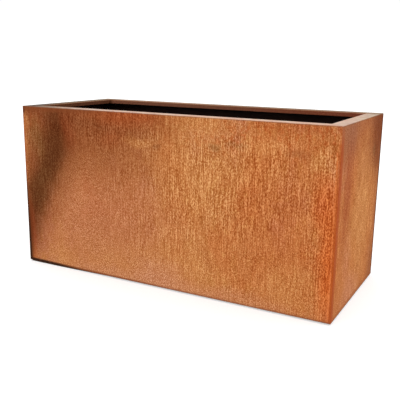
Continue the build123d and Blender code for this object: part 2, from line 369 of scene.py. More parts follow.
class RustedSheet(Shader):
    """Material of a folded panel: rust outside and a black coating inside.

    A method that takes a tone returns it with one more layer on it.
    """

    def __init__(self, name, wall):
        super().__init__(name, specular=0.03)
        self.wall = wall
        self.x, self.y, self.z = self.axes(self.place)
        to_end = self.math("SUBTRACT", HALF_LENGTH, self.math("ABSOLUTE", self.x))
        to_side = self.math("SUBTRACT", HALF_DEPTH, self.math("ABSOLUTE", self.y))
        self.inwards = self.math("MINIMUM", to_end, to_side)
        self.to_corner = self.math("MAXIMUM", to_end, to_side)
        self.rise = self.facing_up()
        self.ragged = self.ragged_place()
        self.patchy = self.noise(17.0)
        self.uneven = self.noise((60.0, 60.0, 14.0), detail=4.0)
        self.pitting = self.noise(PITTING_SCALE, roughness=0.6)
        self.washed = self.washed_share()
        self.grain = self.grain_height()
        on_top = self.math("GREATER_THAN", self.z, TOP - 0.003)
        self.rim = self.product(self.span(self.rise, 0.55, 1.0), on_top)
        self.rim_shade = self.rim_shade_share()
        # Painted sheen: the rim top is paler, except where painted shade darkens it
        self.painted_sheen = self.product(self.rim, self.scaled(self.rim_shade, -0.85, 1.0))
        self.coated = self.coated_share()

    def on_wall(self, place, spot, core):
        """Share of a stain or washed area at each point, from 1 in its core to 0 at its rim."""
        facing_x, facing_y = self.wall.faces
        if facing_x:
            centre = (facing_x * HALF_LENGTH, spot.along, spot.up)
            size = (STAIN_DEPTH, spot.half_width, spot.half_height)
            tilt = (spot.lean, 0, 0)
        else:
            centre = (spot.along, facing_y * HALF_DEPTH, spot.up)
            size = (spot.half_width, STAIN_DEPTH, spot.half_height)
            tilt = (0, spot.lean, 0)
        return self.patch(place, centre, size, core, tilt)

    def ragged_place(self):
        """Object coordinates pushed about by noise, so that what they draw has ragged edges."""
        wander = self.noise(RAGGED_SCALE, detail=6.0, roughness=0.62, output="Color")
        offset = self.vector("SUBTRACT", wander, (0.5, 0.5, 0.5))
        return self.vector("ADD", self.place, self.vector("MULTIPLY", offset, (RAGGED_REACH,) * 3))

    def wavering(self, distance, reach):
        """A distance that noise changes by up to half the reach each way."""
        return self.scaled(self.uneven, reach, self.math("SUBTRACT", distance, 0.5 * reach))

    def washed_share(self):
        washed = WASHED_LEAST
        for area in self.wall.washed:
            share = self.on_wall(self.ragged, area, WASHED_CORE)
            washed = self.math("MAXIMUM", washed, self.product(share, area.strength))
        return washed

    def grain_height(self):
        """Fine speckle, and upright flecks and threads where the wall is washed."""
        speckle = self.noise(SPECKLE_SCALE, detail=2.0, roughness=0.6)
        fleck = self.noise(FLECK_SCALE, detail=2.0, distortion=0.4)
        thread = self.noise(THREAD_SCALE, detail=2.0, distortion=0.3)
        upright = self.scaled(thread, 0.42, self.product(fleck, 0.58))
        dry = self.math("SUBTRACT", 1.0, self.washed)
        return self.scaled(upright, self.washed, self.product(speckle, dry))

    def rim_shade_share(self):
        """Where painted shade darkens the rim: at the left end and along the back."""
        left = self.patch(self.ragged, (-HALF_LENGTH, 0.0, TOP), (0.34, 0.6, 0.2), core=0.3)
        rear = self.patch(self.ragged, (0.0, HALF_DEPTH, TOP), (1.1, 0.12, 0.2), core=0.6)
        return self.math("MAXIMUM", left, self.product(rear, 0.8))

    def coated_share(self):
        """1 on everything behind the outer face of the folded sheet."""
        behind = self.math("GREATER_THAN", self.inwards, 0.6 * SHEET)
        under = self.math("LESS_THAN", self.z, TOP - 0.7 * SHEET)
        before = self.math("LESS_THAN", self.inwards, RIM_WIDTH - 0.5 * SHEET)
        return self.product(behind, under, before)

    def broad_tones(self):
        """Broad patches, upright streaks, mottling, and fresh red rust, most of it near the rim."""
        broad = self.noise((5.0, 5.0, 3.0), detail=4.0, roughness=0.6)
        streak = self.noise((24.0, 24.0, 2.0), detail=4.0, roughness=0.6, distortion=0.3)
        mottle = self.noise((38.0, 38.0, 20.0), detail=4.0, roughness=0.6)
        fresh = self.noise((90.0, 90.0, 55.0), roughness=0.6)
        near_rim = self.span(self.z, TOP - 0.14, TOP - 0.07, 0.12, 0.6)
        tone = self.mix(self.span(broad, 0.36, 0.5), PINK_BROWN, TAN)
        tone = self.mix(self.span(broad, 0.52, 0.66, 0.0, 0.7), tone, BURNT_ORANGE)
        tone = self.mix(self.span(streak, 0.52, 0.7, 0.0, 0.35), tone, STRAW)
        tone = self.mix(self.span(mottle, 0.5, 0.66, 0.0, 0.45), tone, OCHRE_TAN)
        return self.mix(self.product(self.span(fresh, 0.5, 0.62), near_rim), tone, FRESH_RED)

    def stained(self, tone):
        for stain in self.wall.stains:
            share = self.on_wall(self.ragged, stain, SOFT_CORE)
            tone = self.mix(self.product(share, stain.strength), tone, stain.tint)
        return tone

    def grained(self, tone):
        """The grain, and pitting that is too fine to see from afar."""
        depth = self.span(self.patchy, 0.35, 0.65, 0.66, 0.92)
        depth = self.scaled(self.washed, 0.34, depth)
        dark = self.product(self.span(self.grain, 0.52, 0.4), depth)
        light = self.product(self.span(self.grain, 0.51, 0.61), depth)
        pits = self.span(self.pitting, 0.42, 0.3, 0.0, 0.5)
        tone = self.mix(dark, tone, GRAIN_DARK, blend="MULTIPLY")
        tone = self.mix(light, tone, GRAIN_LIGHT, blend="MULTIPLY")
        return self.mix(pits, tone, GRAIN_DARK, blend="MULTIPLY")

    def dressed(self, tone):
        """Beside each corner, the band dressed with the weld and the broken light line along it."""
        edge = self.wavering(self.to_corner, 0.006)
        along = self.y if self.wall.faces[0] else self.x
        broken = self.product(
            self.span(self.patchy, 0.35, 0.6, 0.3),
            self.span(self.grain, 0.4, 0.54, 0.45),
            self.span(self.z, TOP - 0.03, TOP - 0.13, 0.1),
        )
        for dressing, side in ((self.wall.low_end, "LESS_THAN"), (self.wall.high_end, "GREATER_THAN")):
            here = self.math(side, along, 0.0)
            line = self.math("ABSOLUTE", self.math("SUBTRACT", edge, dressing.width))
            line = self.span(line, 0.005, 0.0, 0.0, dressing.line_strength)
            tone = self.mix(self.product(line, here, broken), tone, EDGE_LIGHT)
            band = self.span(edge, dressing.width, 0.5 * dressing.width, 0.0, dressing.strength)
            below_rim = self.span(self.z, TOP, TOP - 0.07, 0.2)
            tone = self.mix(self.product(band, here, below_rim), tone, dressing.tint)
        return tone

    def edged(self, tone):
        """The foot of the wall darkened with painted shade, and the stains with clean outlines, some of them
        painted shade.
        """
        foot = self.wavering(self.z, 0.012)
        tone = self.mix(self.span(foot, WALL_FOOT + 0.007, WALL_FOOT, 0.0, 0.8), tone, FOOT_SHADE)
        for stain in self.wall.crisp:
            share = self.on_wall(self.place, stain, CRISP_CORE)
            strength = self.span(self.uneven, 0.3, 0.5, 0.75 * stain.strength, stain.strength)
            tone = self.mix(self.product(share, strength), tone, stain.tint)
        return tone

    def rim_sheen(self):
        """Pale tone of the rim, partly painted sheen: mottled, and at the right end greyer and greener."""
        right_end = self.math("GREATER_THAN", self.x, 0.0)
        greyer_right = self.product(self.span(self.y, -0.14, 0.06), right_end)
        outer = self.product(self.span(self.inwards, 0.032, 0.008, 0.2, 0.7), greyer_right)
        mottle = self.noise(55.0, detail=5.0, roughness=0.65)
        # The pale tone here is partly painted sheen
        skin = self.mix(self.product(greyer_right, 0.9), RIM_PALE, RIM_BEIGE)
        skin = self.mix(outer, skin, RIM_OLIVE)
        skin = self.mix(self.span(mottle, 0.5, 0.62, 0.0, 0.65), skin, RIM_CHALK)
        return self.mix(self.span(mottle, 0.5, 0.36, 0.0, 0.4), skin, OCHRE_TAN)

    def rimmed(self, tone):
        """The flat of the rim: painted shade at the left end and along the back, the pale tone that is partly
        painted sheen elsewhere, and brown at its bends.
        """
        # Painted shade on the rim, darkest towards the front left corner
        deepest_shade = self.patch(self.ragged, (-HALF_LENGTH, -HALF_DEPTH, TOP), (0.13, 0.26, 0.2), core=0.2)
        # Painted shade of the fold beside the front right corner, where the rim loses its pale tone
        corner_shade_at = (HALF_LENGTH - 0.03, -HALF_DEPTH, TOP)
        corner_shade = self.patch(self.ragged, corner_shade_at, (0.08, 0.035, 0.2), core=0.3)
        blotch = self.noise(26.0, detail=5.0, roughness=0.65)
        shaded_rim = self.mix(deepest_shade, RIM_DARK, RIM_BLACK)
        tone = self.mix(self.product(self.rim, self.rim_shade), tone, shaded_rim)
        sheened = self.product(
            self.painted_sheen,
            self.span(blotch, 0.34, 0.62, 0.9, 0.25),
            self.scaled(corner_shade, -0.6, 1.0),
        )
        tone = self.mix(sheened, tone, self.rim_sheen())
        # Painted shade along the rim's bends, which also have cracked mill scale
        bend = self.product(self.span(self.rise, 0.04, 0.2), self.span(self.rise, 0.85, 0.5), 0.6)
        return self.mix(bend, tone, BEND_BROWN)

    def turned_down(self, tone):
        """The face of the turned-down edge: darker rust, with painted shade from the dark of the box, deepest
        at the left end.
        """
        facing_in = self.math("GREATER_THAN", self.inwards, RIM_WIDTH - 0.5 * SHEET)
        upright = self.span(self.rise, 0.8, 0.2)
        rust = self.mix(self.span(self.x, -0.1, 0.45), RETURN_BROWN, RETURN_RED)
        face = RIM_WIDTH - HALF_LENGTH  # of the turned-down edge at the left end
        # Painted shade, deepest at the left end
        left_shade = self.span(self.x, face + 0.02, face + 0.002, 0.0, 0.9)
        rust = self.mix(left_shade, rust, RETURN_SHADE)
        return self.mix(self.product(facing_in, upright, 0.85), tone, rust)

    def painted(self, tone):
        """The coating, brushed on along the walls."""
        brushed = self.noise((9.0, 9.0, 70.0))
        film = self.mix(self.span(brushed, 0.35, 0.65), COATING, COATING_WORN)
        return self.mix(self.coated, tone, film)

    def rusted(self):
        """The finished material."""
        tone = self.grained(self.stained(self.broad_tones()))
        tone = self.edged(self.dressed(tone))
        tone = self.painted(self.turned_down(self.rimmed(tone)))
        skin = self.product(self.painted_sheen, 0.7)
        self.output("Coat Weight", self.scaled(self.coated, 0.15, skin))
        self.surface.inputs["Coat Roughness"].default_value = 0.32
        relief = self.scaled(self.pitting, 0.25, self.grain)
        return self.finished(tone, self.span(self.grain, 0.35, 0.65, 0.88, 0.72), relief, GRAIN_RELIEF)


# The walls: their stains and washed areas are placed one by one, and a later stain covers an earlier one
FRONT = Wall(
    faces=(0, -1),
    stains=[
        Stain(PINK_BROWN, 0.7, -0.24, 0.22, 0.5, 0.4),
        Stain(STRAW, 0.45, 0.0, 0.03, 0.66, 0.2),
        # Painted shade: the darker patches over the upper left, and the leaning dark band and the umber
        # patches near the left end
        Stain(SHADE, 0.75, -0.22, 0.5, 0.44, 0.24),
        Stain(UMBER, 0.8, -0.44, 0.66, 0.46, 0.34),
        Stain(UMBER, 0.75, -0.14, 0.66, 0.36, 0.2),
        Stain(UMBER, 0.5, -0.57, 0.3, 0.09, 0.34),
        Stain(UMBER, 0.66, -0.49, 0.35, 0.165, 0.48, 24),
        Stain(DARK_OLIVE, 0.8, -0.507, 0.35, 0.098, 0.4, 24),
        Stain(DARK_UMBER, 0.5, -0.455, 0.46, 0.09, 0.14, 20),
        Stain(DARK_UMBER, 0.5, -0.585, 0.17, 0.05, 0.2, 10),
        Stain(DARK_UMBER, 0.5, -0.44, 0.58, 0.1, 0.12),
        Stain(RED_BROWN, 0.28, -0.39, 0.53, 0.05, 0.13),
        Stain(OLIVE, 0.5, -0.535, 0.48, 0.05, 0.12),
        # Painted highlight: the lighter line along the left edge
        Stain(TAN, 0.7, -0.596, 0.525, 0.034, 0.11),
        Stain(TAN, 0.3, -0.6, 0.44, 0.024, 0.12),
        # Painted shade under the rim at the top left corner
        Stain(LIP_BROWN, 0.6, -0.6, 0.6, 0.16, 0.03),
        Stain(TOP_RUST, 0.8, -0.13, 0.6, 0.16, 0.08),
        Stain(TOP_RUST, 0.35, -0.2, 0.51, 0.09, 0.05),
        Stain(TOP_RUST, 0.4, -0.12, 0.6, 0.34, 0.06),
        Stain(TOP_RUST, 0.25, -0.17, 0.59, 0.22, 0.05),
        Stain(BURNT_ORANGE, 0.45, 0.03, 0.43, 0.08, 0.12),
        Stain(SHADE, 0.25, 0.0, 0.42, 0.08, 0.12),
        Stain(STRAW, 0.3, 0.06, 0.14, 0.16, 0.12),
        Stain(STRAW, 0.2, 0.2, 0.22, 0.38, 0.28),
        Stain(BURNT_ORANGE, 0.5, 0.42, 0.3, 0.24, 0.5),
        Stain(STRAW, 0.5, 0.12, 0.42, 0.24, 0.28),
        Stain(STRAW, 0.5, 0.46, 0.09, 0.14, 0.12),
        Stain(DUST, 0.55, 0.02, 0.01, 0.7, 0.06),
        Stain(DUST, 0.45, 0.0, 0.06, 0.14, 0.08),
        Stain(STRAW, 0.35, -0.45, 0.04, 0.12, 0.07),
        Stain(UMBER, 0.3, -0.58, 0.15, 0.06, 0.12),
        Stain(UMBER, 0.5, -0.56, 0.405, 0.055, 0.09),
        Stain(STRAW, 0.45, -0.085, 0.505, 0.09, 0.025),
        Stain(STRAW, 0.6, 0.54, 0.5, 0.045, 0.06),
        Stain(STRAW, 0.45, 0.16, 0.58, 0.2, 0.05),
        Stain(BURNT_ORANGE, 0.4, 0.33, 0.43, 0.05, 0.12),
        Stain(STRAW, 0.25, 0.33, 0.45, 0.22, 0.08),
        Stain(STRAW, 0.5, 0.36, 0.52, 0.1, 0.05),
        Stain(TOP_RUST, 0.45, 0.48, 0.6, 0.2, 0.05),
        Stain(OLIVE, 0.5, 0.205, 0.508, 0.04, 0.018),
        Stain(OLIVE, 0.32, 0.275, 0.517, 0.045, 0.016),
        Stain(SHADE, 0.45, 0.47, 0.51, 0.07, 0.022),
        Stain(DARK_UMBER, 0.3, -0.01, 0.495, 0.024, 0.014),
        Stain(EDGE_RED, 0.5, 0.56, 0.37, 0.06, 0.14),
        Stain(EDGE_RED, 0.75, 0.6, 0.19, 0.076, 0.34),
        # Painted shade of the fold under the rim at the right corner
        Stain(MAUVE, 0.4, 0.6, 0.6, 0.05, 0.05),
    ],
    crisp=[
        # Painted shadow of the gap under the wall, along the foot
        Stain(UMBER, 0.6, -0.45, 0.006, 0.55, 0.01),
        Stain(UMBER, 0.35, 0.2, 0.006, 0.9, 0.008),
        # Painted shade along the left corner, near the foot and under the rim
        Stain(RED_BROWN, 0.4, -0.6, 0.06, 0.05, 0.26),
        Stain(DARK_UMBER, 0.6, -0.6, 0.1, 0.03, 0.22),
        Stain(BLACK_BROWN, 0.8, -0.6, 0.08, 0.014, 0.32),
        Stain(BLACK_BROWN, 0.8, -0.6, 0.02, 0.016, 0.16),
        Stain(BLACK_BROWN, 0.7, -0.6, 0.6, 0.018, 0.035),
        # Painted shadow of the gap under the wall, darkest at the left
        Stain(BLACK_BROWN, 1.0, -0.62, 0.004, 0.34, 0.014),
        # Painted shadow under the rim bend, along the top of the left half
        Stain(UMBER, 0.7, -0.5, 0.6, 0.36, 0.022),
    ],
    washed=[
        Washed(0.92, 0.26, 0.38, 0.56, 0.3),
        Washed(0.7, 0.02, 0.3, 0.42, 0.32),
        Washed(0.55, 0.34, 0.18, 0.5, 0.34),
        Washed(0.6, 0.26, 0.58, 0.6, 0.14),
        Washed(0.85, -0.24, 0.56, 0.52, 0.16),
        Washed(1.0, 0.58, 0.32, 0.12, 0.46),
        Washed(0.7, -0.52, 0.36, 0.15, 0.38),
    ],
    low_end=Dressing(0.006, TOP_RUST, 0.6, 0.0),
    high_end=Dressing(0.01, WELD_BROWN, 0.75, 0.95),
)
RIGHT = Wall(
    faces=(1, 0),
    stains=[
        Stain(BURNT_ORANGE, 0.35, 0.0, 0.3, 0.8, 0.9),
        Stain(OCHRE_TAN, 0.55, 0.02, 0.28, 0.36, 0.44),
        Stain(SHADE, 0.45, 0.0, 0.6, 0.7, 0.24),
        Stain(MAUVE, 0.85, -0.18, 0.6, 0.16, 0.18),
        Stain(RED_BROWN, 0.55, -0.165, 0.36, 0.075, 0.26),
        Stain(STRAW, 0.4, 0.03, 0.26, 0.16, 0.36),
        Stain(END_BROWN, 0.95, 0.22, 0.58, 0.2, 0.3),
        Stain(END_BROWN, 0.55, 0.23, 0.48, 0.11, 0.16),
        Stain(END_BROWN, 0.45, 0.18, 0.6, 0.16, 0.07),
        Stain(OLIVE, 0.38, 0.16, 0.485, 0.035, 0.035),
        Stain(MAUVE, 0.3, -0.05, 0.6, 0.3, 0.07),
        Stain(SHADE, 0.6, 0.25, 0.26, 0.07, 0.3),
        Stain(DUST, 0.6, -0.06, 0.04, 0.16, 0.09),
        Stain(DUST, 0.35, -0.12, 0.16, 0.07, 0.12),
        Stain(BURNT_ORANGE, 0.35, -0.1, 0.42, 0.07, 0.14),
        Stain(SHADE, 0.9, 0.24, 0.04, 0.12, 0.18),
    ],
    crisp=[
        Stain(BLACK_BROWN, 0.75, 0.26, 0.3, 0.02, 0.6),
        Stain(SHADE, 0.6, 0.1, 0.006, 0.5, 0.02),
    ],
    washed=[Washed(0.9, 0.0, 0.32, 0.5, 0.5)],
    low_end=Dressing(0.026, WELD_RED, 0.75, 0.15),
    high_end=Dressing(0.01, LIP_BROWN, 0.8, 0.0),
)
BACK = Wall(
    faces=(0, 1),
    stains=[
        Stain(UMBER, 0.85, 0.3, 0.6, 0.5, 0.2),
        Stain(PINK_BROWN, 0.7, 0.2, 0.22, 0.4, 0.3),
        Stain(BURNT_ORANGE, 0.6, -0.36, 0.3, 0.26, 0.44),
        Stain(DARK_UMBER, 0.55, 0.12, 0.52, 0.06, 0.24, -6),
        Stain(RED_BROWN, 0.6, -0.52, 0.58, 0.16, 0.1),
        Stain(RED_BROWN, 0.7, 0.6, 0.06, 0.08, 0.18),
        Stain(STRAW, 0.6, -0.12, 0.4, 0.16, 0.22),
        Stain(OLIVE, 0.6, -0.3, 0.505, 0.04, 0.014),
    ],
    # Painted shadow: along the foot from the gap under the wall, and under the rim bend
    crisp=[Stain(UMBER, 0.7, 0.3, 0.004, 0.6, 0.016), Stain(UMBER, 0.6, 0.2, 0.6, 0.5, 0.02)],
    washed=[Washed(0.9, -0.18, 0.38, 0.44, 0.26), Washed(0.6, 0.34, 0.24, 0.3, 0.26)],
    low_end=Dressing(0.008, WELD_BROWN, 0.8, 0.5),
    high_end=Dressing(0.006, UMBER, 0.7, 0.2),
)
LEFT = Wall(
    faces=(-1, 0),
    stains=[
        Stain(UMBER, 0.85, -0.2, 0.58, 0.24, 0.26),
        Stain(MAUVE, 0.7, 0.14, 0.58, 0.12, 0.14),
        Stain(BURNT_ORANGE, 0.5, 0.18, 0.28, 0.1, 0.36),
        Stain(STRAW, 0.5, -0.04, 0.3, 0.12, 0.24),
        Stain(RED_BROWN, 0.7, -0.26, 0.1, 0.06, 0.2),
    ],
    # A dark line by the front corner, and painted shadow of the gap under the wall along the foot
    crisp=[Stain(BLACK_BROWN, 0.8, -0.26, 0.3, 0.01, 0.5), Stain(BLACK_BROWN, 0.8, -0.26, 0.004, 0.3, 0.016)],
    washed=[Washed(0.7, 0.04, 0.34, 0.28, 0.28)],
    low_end=Dressing(0.008, UMBER, 0.7, 0.1),
    high_end=Dressing(0.018, WELD_RED, 0.8, 0.3),
)
for side, wall in (("front", FRONT), ("right", RIGHT), ("back", BACK), ("left", LEFT)):
    rust = RustedSheet("rusted_sheet_" + side, wall).rusted()
    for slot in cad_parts[side + "_panel"].material_slots:
        slot.material = rust


def weld_metal(name, tint, second, top_tint=None, low_tint=None):
    """Rusted weld: blotchy, scratched by a grinding disc, and of other tints near the rim and the ground."""
    shader = Shader(name, specular=0.1)
    blotch = shader.noise(90.0, detail=4.0, roughness=0.6)
    crust = shader.noise(700.0)
    scratch = shader.noise((900.0, 900.0, 2200.0), detail=2.0)
    tone = shader.mix(shader.span(blotch, 0.35, 0.65), tint, second)
    tone = shader.mix(shader.span(crust, 0.45, 0.7, 0.0, 0.5), tone, EDGE_LIGHT)
    if top_tint:
        height = shader.axes(shader.place)[2]
        tone = shader.mix(shader.span(height, TOP - 0.09, TOP, 0.0, 0.7), tone, top_tint)
        tone = shader.mix(shader.span(height, *LOW_TINT_FADE, 0.0, 0.9), tone, low_tint)
    relief = shader.scaled(scratch, 0.3, crust)
    return shader.finished(tone, shader.span(crust, 0.35, 0.65, 0.62, 0.85), relief, 0.0003)


def base_steel(name, coated):
    """Unfinished sheet under the planter: dark rust and mill scale, with coating on top if it is coated."""
    shader = Shader(name, specular=0.15)
    broad = shader.noise(12.0, detail=5.0, roughness=0.6)
    speckle = shader.noise(240.0, roughness=0.6)
    scale = shader.noise((5.0, 26.0, 26.0), detail=6.0, roughness=0.65, distortion=0.5)
    tone = shader.mix(shader.span(broad, 0.38, 0.62), RED_BROWN, UMBER)
    tone = shader.mix(shader.span(scale, 0.44, 0.7, 0.0, 0.6), tone, DARK_UMBER)
    tone = shader.mix(shader.span(speckle, 0.4, 0.65, 0.0, 0.45), tone, BURNT_ORANGE)
    if coated:
        worn = shader.noise(30.0, detail=5.0, roughness=0.6)
        film = shader.mix(shader.span(worn, 0.4, 0.7), COATING, COATING_WORN)
        upper = shader.product(shader.span(shader.facing_up(), 0.3, 0.8), shader.span(worn, 0.78, 0.7))
        tone = shader.mix(upper, tone, film)
    return shader.finished(tone, shader.span(speckle, 0.35, 0.65, 0.65, 0.9), speckle, 0.0005)


def black_coating():
    """Brushed-on bitumen: nearly black, uneven in gloss, with the marks of the brush."""
    shader = Shader("black_coating", specular=0.4)
    brush = shader.noise((30.0, 30.0, 260.0), distortion=0.6)
    worn = shader.noise(24.0, detail=4.0)
    tone = shader.mix(shader.span(worn, 0.4, 0.7), COATING, COATING_WORN)
    return shader.finished(tone, shader.span(worn, 0.35, 0.65, 0.45, 0.75), brush, 0.0006)


def zinc_plate():
    """Dull zinc plating with a bloom of white rust and fine handling scratches."""
    shader = Shader("zinc_plate")
    bloom = shader.noise(420.0, detail=4.0, roughness=0.6)
    scratch = shader.noise((300.0, 2600.0, 2600.0), detail=2.0)
    bloomed = shader.span(bloom, 0.48, 0.68)
    shader.output("Metallic", shader.scaled(bloomed, -0.5, 1.0))
    shine = shader.span(scratch, 0.3, 0.7, 0.28, 0.42)
    roughness = shader.scaled(bloomed, 0.35, shine)
    return shader.finished(shader.mix(bloomed, ZINC, ZINC_BLOOM), roughness, scratch, 0.00004)


def foot_rubber():
    """Black moulded rubber, greyed by dust in its pores."""
    shader = Shader("foot_rubber", specular=0.3)
    pores = shader.noise(1500.0, detail=2.0)
    dust = shader.noise(130.0, detail=4.0)
    tone = shader.mix(shader.span(dust, 0.45, 0.75, 0.0, 0.6), RUBBER, RUBBER_DUST)
    return shader.finished(tone, shader.span(dust, 0.35, 0.65, 0.7, 0.92), pores, 0.0001)


def solids(node):
    """Box of each separate solid of a CAD node: its lowest and highest corners."""
    mesh = bmesh.new()
    mesh.from_mesh(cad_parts[node].data)
    bmesh.ops.remove_doubles(mesh, verts=mesh.verts, dist=1e-5)
    waiting = set(mesh.verts)
    boxes = []
    while waiting:
        reached = [waiting.pop()]
        for vertex in reached:
            for edge in vertex.link_edges:
                other = edge.other_vert(vertex)
                if other in waiting:
                    waiting.remove(other)
                    reached.append(other)
        along = [[vertex.co[axis] for vertex in reached] for axis in range(3)]
        boxes.append((Vector(map(min, along)), Vector(map(max, along))))
    mesh.free()
    return sorted(boxes, key=lambda box: tuple(box[0]))


class Shape:
    """Points and faces of a piece, mostly gathered from rings of points."""

    def __init__(self):
        self.points = []
        self.faces = []

    def skin(self, rings, placing=None, closed=False):
        """Joins rings of equal length; the ends are capped, or joined if the rings run in a circle."""
        first = len(self.points)
        count = len(rings[0])
        for ring in rings:
            self.points += [placing @ Vector(point) if placing else Vector(point) for point in ring]
        for i in range(len(rings) if closed else len(rings) - 1):
            here = first + i * count
            there = first + (i + 1) % len(rings) * count
            for j in range(count):
                k = (j + 1) % count
                self.faces.append((here + j, here + k, there + k, there + j))
        if not closed:
            self.faces.append(tuple(range(first + count - 1, first - 1, -1)))
            last = first + (len(rings) - 1) * count
            self.faces.append(tuple(range(last, last + count)))

    def turned(self, profile, placing, sides=48, closed=False):
        """Body turned about Z; a profile point is a radius, a height, and a limit on the radius or None."""
        rings = []
        for radius, height, limit in profile:
            ring = []
            for i in range(sides):
                angle = 2 * math.pi * i / sides
                reach = min(radius, limit(angle, height)) if limit else radius
                ring.append((reach * math.cos(angle), reach * math.sin(angle), height))
            rings.append(ring)
        self.skin(rings, placing, closed)

    def piece(self, name, material, slot, *nodes):
        """Makes the piece, which stands for those CAD nodes."""
        mesh = bpy.data.meshes.new(name)
        mesh.from_pydata(self.points, [], self.faces)
        mesh.materials.append(material)
        tidy = bmesh.new()
        tidy.from_mesh(mesh)
        bmesh.ops.recalc_face_normals(tidy, faces=tidy.faces)
        tidy.to_mesh(mesh)
        tidy.free()
        mesh.polygons.foreach_set("use_smooth", [True] * len(mesh.polygons))
        mesh.set_sharp_from_angle(angle=math.radians(38))
        piece = bpy.data.objects.new(name, mesh)
        bpy.context.scene.collection.objects.link(piece)
        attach(piece, "root")
        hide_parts(*nodes)


def flats(reach):
    """Limit that cuts a hexagon, its first corner at angle 0, into a turned body."""
    sixth = math.pi / 3
    return lambda angle, height: reach / math.cos(angle % sixth - sixth / 2)


def thread(radius, pitch, depth):
    """Limit that cuts a right-hand thread into a turned body."""
    def limit(angle, height):
        turn = (height / pitch - angle / (2 * math.pi)) % 1.0
        return radius - depth * min(1.0, max(0.0, 1.3 * abs(2 * turn - 1) - 0.15))

    return limit


def threaded(size, low, high):
    """Profile of a thread from its chamfered end at low up to high."""
    radius, pitch, depth = size
    count = round((high - low) / pitch * THREAD_STEPS)
    heights = [low + (high - low) * i / count for i in range(count + 1)]
    return [(min(radius, radius - depth + height - low), height, thread(*size)) for height in heights]


def chamfered_top(flat, corner, seat, top):
    """Profile of a hexagon's outside from its seat to its top, with the cone that rounds its corners off."""
    bevel = 0.5 * (corner - HEX_FACE * flat)
    profile = [(corner, seat, flats(flat))]
    for i in range(6):
        share = i / 5
        profile.append((corner + share * (HEX_FACE * flat - corner), top - bevel * (1 - share), flats(flat)))
    return profile


def quarter(steps):
    """Points of a quarter circle of radius 1, as distances from the two lines that it touches."""
    angles = [math.radians(90 * i / steps) for i in range(steps + 1)]
    return [(1 - math.sin(angle), 1 - math.cos(angle)) for angle in angles]


def rotation(degrees, axis):
    return Matrix.Rotation(math.radians(degrees), 4, axis)


def middle(box):
    return (box[0] + box[1]) / 2


def tie_fasteners(material):
    """Bolts, nuts and washers of the tie: their axes lie along X."""
    along_x = rotation(90, "Y")
    against_x = rotation(-90, "Y")
    washers = solids("tie_washers")
    head_seat = max(high.x for low, high in washers)

    shape = Shape()
    for low, high in solids("tie_bolts"):
        centre = middle((low, high))
        placing = Matrix.Translation((0, centre.y, centre.z)) @ along_x
        flat, corner = (high.y - low.y) / 2, (high.z - low.z) / 2
        collar = head_seat + 0.06 * flat
        profile = threaded(M8_THREAD, low.x, head_seat)
        profile += [(HEX_FACE * flat, head_seat, None), (HEX_FACE * flat, collar, None)]
        profile += chamfered_top(flat, corner, collar, high.x)
        profile += [(0.8 * flat, high.x - 0.0001, None), (0.76 * flat, high.x - 0.0003, None)]
        shape.turned(profile, placing, sides=60)
    shape.piece("m8_tie_bolts", material, "zinc_steel", "tie_bolts")

    shape = Shape()
    for low, high in solids("tie_nuts"):
        centre = middle((low, high))
        placing = Matrix.Translation((high.x, centre.y, centre.z)) @ against_x
        nut(shape, placing, (high.y - low.y) / 2, (high.z - low.z) / 2, high.x - low.x, M8_THREAD)
    shape.piece("m8_tie_nuts", material, "zinc_steel", "tie_nuts")

    shape = Shape()
    for low, high in washers:
        centre = middle((low, high))
        placing = Matrix.Translation((low.x, centre.y, centre.z)) @ along_x
        outside, inside, thick = (high.z - low.z) / 2, M8_THREAD[0] + 0.0005, high.x - low.x
        edge = WASHER_EDGE
        profile = [(inside, 0), (outside - edge, 0), (outside, edge), (outside, thick - 2 * edge)]
        profile += [(outside - 0.5 * edge, thick - 0.6 * edge), (outside - 2 * edge, thick), (inside, thick)]
        shape.turned([(radius, height, None) for radius, height in profile], placing, 48, closed=True)
    shape.piece("m8_tie_washers", material, "zinc_steel", "tie_washers")


def nut(shape, placing, flat, corner, height, size):
    """Adds a hexagon nut, chamfered both ways and countersunk, seated at height 0."""
    bore = size[0] + 0.0001
    sink = 0.0005
    upper = chamfered_top(flat, corner, 0.5 * height, height)
    lower = [(radius, height - at, limit) for radius, at, limit in reversed(upper)]
    profile = [(bore, sink, None), (bore + sink, 0, None)] + lower[:-1] + upper
    profile += [(bore + sink, height, None), (bore, height - sink, None)]
    shape.turned(profile, placing, sides=60, closed=True)


def foot_fasteners(material):
    """Socket screws of the feet, heads down, and their nuts over the bearers."""
    shape = Shape()
    for low, high in solids("foot_screws"):
        centre = middle((low, high))
        placing = Matrix.Translation((centre.x, centre.y, 0))
        head = (high.x - low.x) / 2
        seat = low.z + SCREW_HEAD_HEIGHT
        socket = 1.16 * SOCKET_FLAT
        profile = [(socket, low.z + depth, flats(SOCKET_FLAT)) for depth in (SOCKET_DEPTH, 0.0002)]
        profile.append((socket + 0.0003, low.z, None))
        crown = head - socket - 0.0006
        for short, rise in quarter(8)[1:]:
            profile.append((head - crown * short, low.z + SCREW_CROWN_HEIGHT * rise, None))
        profile += [(head, seat, None), (M6_THREAD[0] + 0.0002, seat, None)]
        for radius, height, limit in reversed(threaded(M6_THREAD, seat, high.z)):
            profile.append((radius, seat + high.z - height, limit))
        shape.turned(profile, placing, sides=48)
    shape.piece("m6_foot_screws", material, "zinc_steel", "foot_screws")

    shape = Shape()
    for low, high in solids("foot_nuts"):
        centre = middle((low, high))
        placing = Matrix.Translation((centre.x, centre.y, low.z))
        nut(shape, placing, (high.y - low.y) / 2, (high.x - low.x) / 2, high.z - low.z, M6_THREAD)
    shape.piece("m6_foot_nuts", material, "zinc_steel", "foot_nuts")


